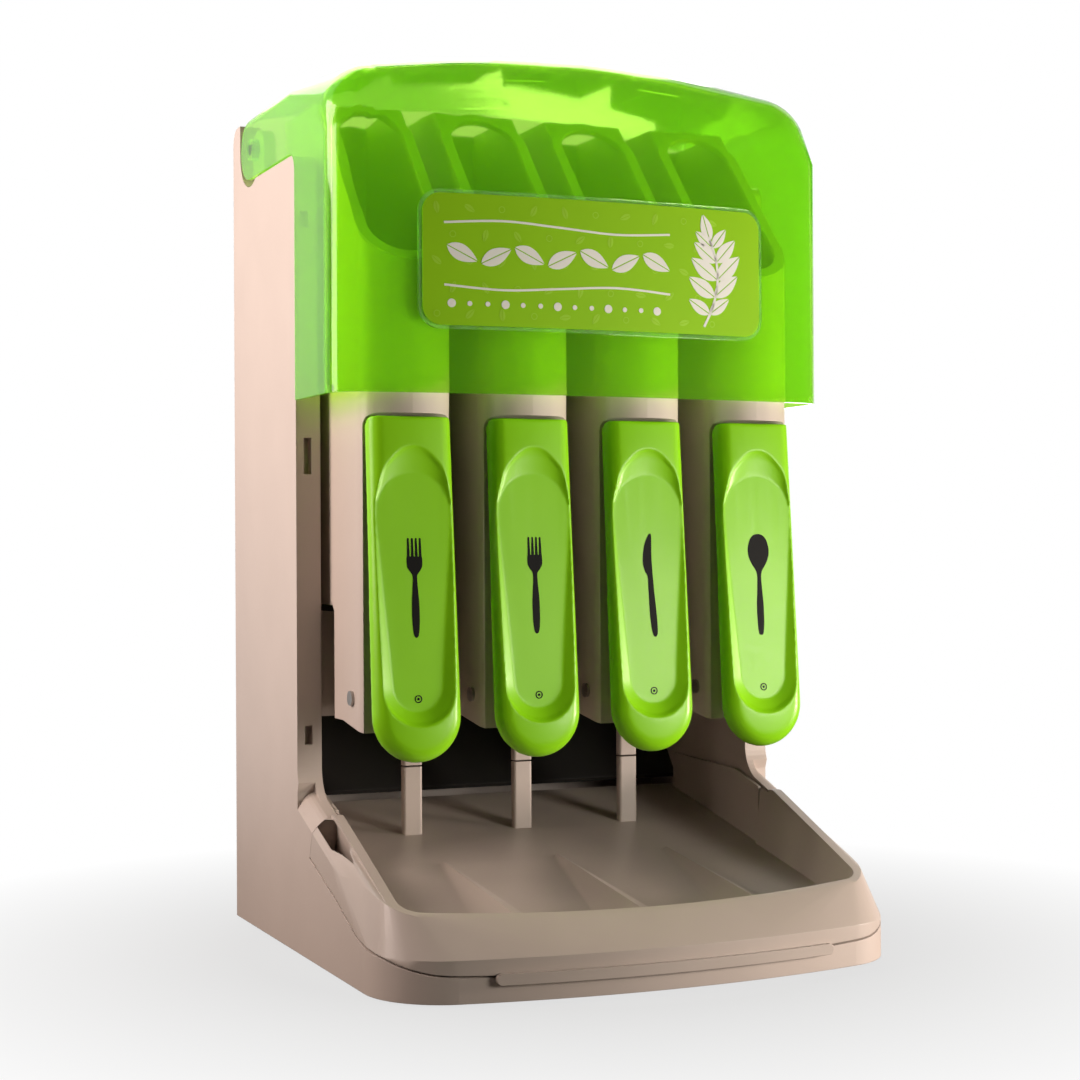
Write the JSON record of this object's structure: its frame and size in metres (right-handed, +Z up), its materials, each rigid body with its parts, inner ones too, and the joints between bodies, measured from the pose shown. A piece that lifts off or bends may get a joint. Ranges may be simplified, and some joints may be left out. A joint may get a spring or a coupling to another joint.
{
  "type": "cutlery_dispenser",
  "caption": "Counter-top cutlery dispenser: four towers with sprung press levers and coupled drop gates, a flip-up clear green cover and a pull-out catch tray.",
  "frame": {"origin": "bottom centre of the bounding box, on the plane the feet stand on", "axes": "+Z up, -Y to the front where the levers and the tray face, +X to the right seen from the front"},
  "size_m": [0.368, 0.376, 0.6155],
  "materials": {
    "shell_greige": "fine satin texture",
    "inner_dark": "matt",
    "lever_lime": "semi gloss",
    "cover_green": "clear tinted plastic, glossy",
    "card_lime": "printed card, satin",
    "pin_steel": "plain",
    "foot_rubber": "matt"
  },
  "bodies": {
    "chassis": {"base_pan": "shell_greige", "left_side_panel": "shell_greige", "right_side_panel": "shell_greige", "back_panel": "shell_greige", "upper_rail": "inner_dark", "lower_rail": "inner_dark", "chute_ramp": "inner_dark", "divider_1": "shell_greige", "divider_2": "shell_greige", "divider_3": "shell_greige", "rubber_feet": "foot_rubber", "tower_1": "shell_greige", "tower_2": "shell_greige", "tower_3": "shell_greige", "tower_4": "shell_greige", "lever_pin_1": "pin_steel", "lever_pin_2": "pin_steel", "lever_pin_3": "pin_steel", "lever_pin_4": "pin_steel", "lever_spring_1": "pin_steel", "lever_spring_2": "pin_steel", "lever_spring_3": "pin_steel", "lever_spring_4": "pin_steel", "gate_axle_1": "pin_steel", "gate_axle_2": "pin_steel", "gate_axle_3": "pin_steel", "gate_axle_4": "pin_steel"},
    "tray": {"catch_tray": "shell_greige", "tray_rear": "shell_greige"},
    "cover": {"cover_shell": "cover_green", "label_holder": "cover_green", "label_card": "card_lime", "cover_hinge_pins": "pin_steel"},
    "lever_1": {"press_lever_1": "lever_lime"},
    "gate_1": {"drop_gate_1": "inner_dark"},
    "lever_2": {"press_lever_2": "lever_lime"},
    "gate_2": {"drop_gate_2": "inner_dark"},
    "lever_3": {"press_lever_3": "lever_lime"},
    "gate_3": {"drop_gate_3": "inner_dark"},
    "lever_4": {"press_lever_4": "lever_lime"},
    "gate_4": {"drop_gate_4": "inner_dark"}
  },
  "joints": [
    {"name": "tray_slide", "type": "slide", "parent": "chassis", "child": "tray", "axis": [0, -1, 0], "range_m": [0, 0.25]},
    {"name": "cover_hinge", "type": "hinge", "parent": "chassis", "child": "cover", "pos_m": [0, 0.141, 0.5735], "axis": [-1, 0, 0], "range_deg": [0, 85]},
    {"name": "lever_1_press", "type": "hinge", "parent": "chassis", "child": "lever_1", "pos_m": [-0.129, -0.05355, 0.3532], "axis": [1, 0, 0], "range_deg": [0, 4], "stiffness_Nm_per_rad": 2, "springref_deg": -2.86},
    {"name": "gate_1_drop", "type": "hinge", "parent": "chassis", "child": "gate_1", "pos_m": [-0.129, -0.0274, 0.179], "axis": [-1, 0, 0], "range_deg": [0, 20]},
    {"name": "lever_2_press", "type": "hinge", "parent": "chassis", "child": "lever_2", "pos_m": [-0.043, -0.05355, 0.3532], "axis": [1, 0, 0], "range_deg": [0, 4], "stiffness_Nm_per_rad": 2, "springref_deg": -2.86},
    {"name": "gate_2_drop", "type": "hinge", "parent": "chassis", "child": "gate_2", "pos_m": [-0.043, -0.0274, 0.179], "axis": [-1, 0, 0], "range_deg": [0, 20]},
    {"name": "lever_3_press", "type": "hinge", "parent": "chassis", "child": "lever_3", "pos_m": [0.043, -0.05355, 0.3532], "axis": [1, 0, 0], "range_deg": [0, 4], "stiffness_Nm_per_rad": 2, "springref_deg": -2.86},
    {"name": "gate_3_drop", "type": "hinge", "parent": "chassis", "child": "gate_3", "pos_m": [0.043, -0.0274, 0.179], "axis": [-1, 0, 0], "range_deg": [0, 20]},
    {"name": "lever_4_press", "type": "hinge", "parent": "chassis", "child": "lever_4", "pos_m": [0.129, -0.05355, 0.3532], "axis": [1, 0, 0], "range_deg": [0, 4], "stiffness_Nm_per_rad": 2, "springref_deg": -2.86},
    {"name": "gate_4_drop", "type": "hinge", "parent": "chassis", "child": "gate_4", "pos_m": [0.129, -0.0274, 0.179], "axis": [-1, 0, 0], "range_deg": [0, 20]}
  ],
  "couplings": [
    {"joint": "gate_1_drop", "follows": "lever_1_press", "ratio": 5},
    {"joint": "gate_2_drop", "follows": "lever_2_press", "ratio": 5},
    {"joint": "gate_3_drop", "follows": "lever_3_press", "ratio": 5},
    {"joint": "gate_4_drop", "follows": "lever_4_press", "ratio": 5}
  ]
}
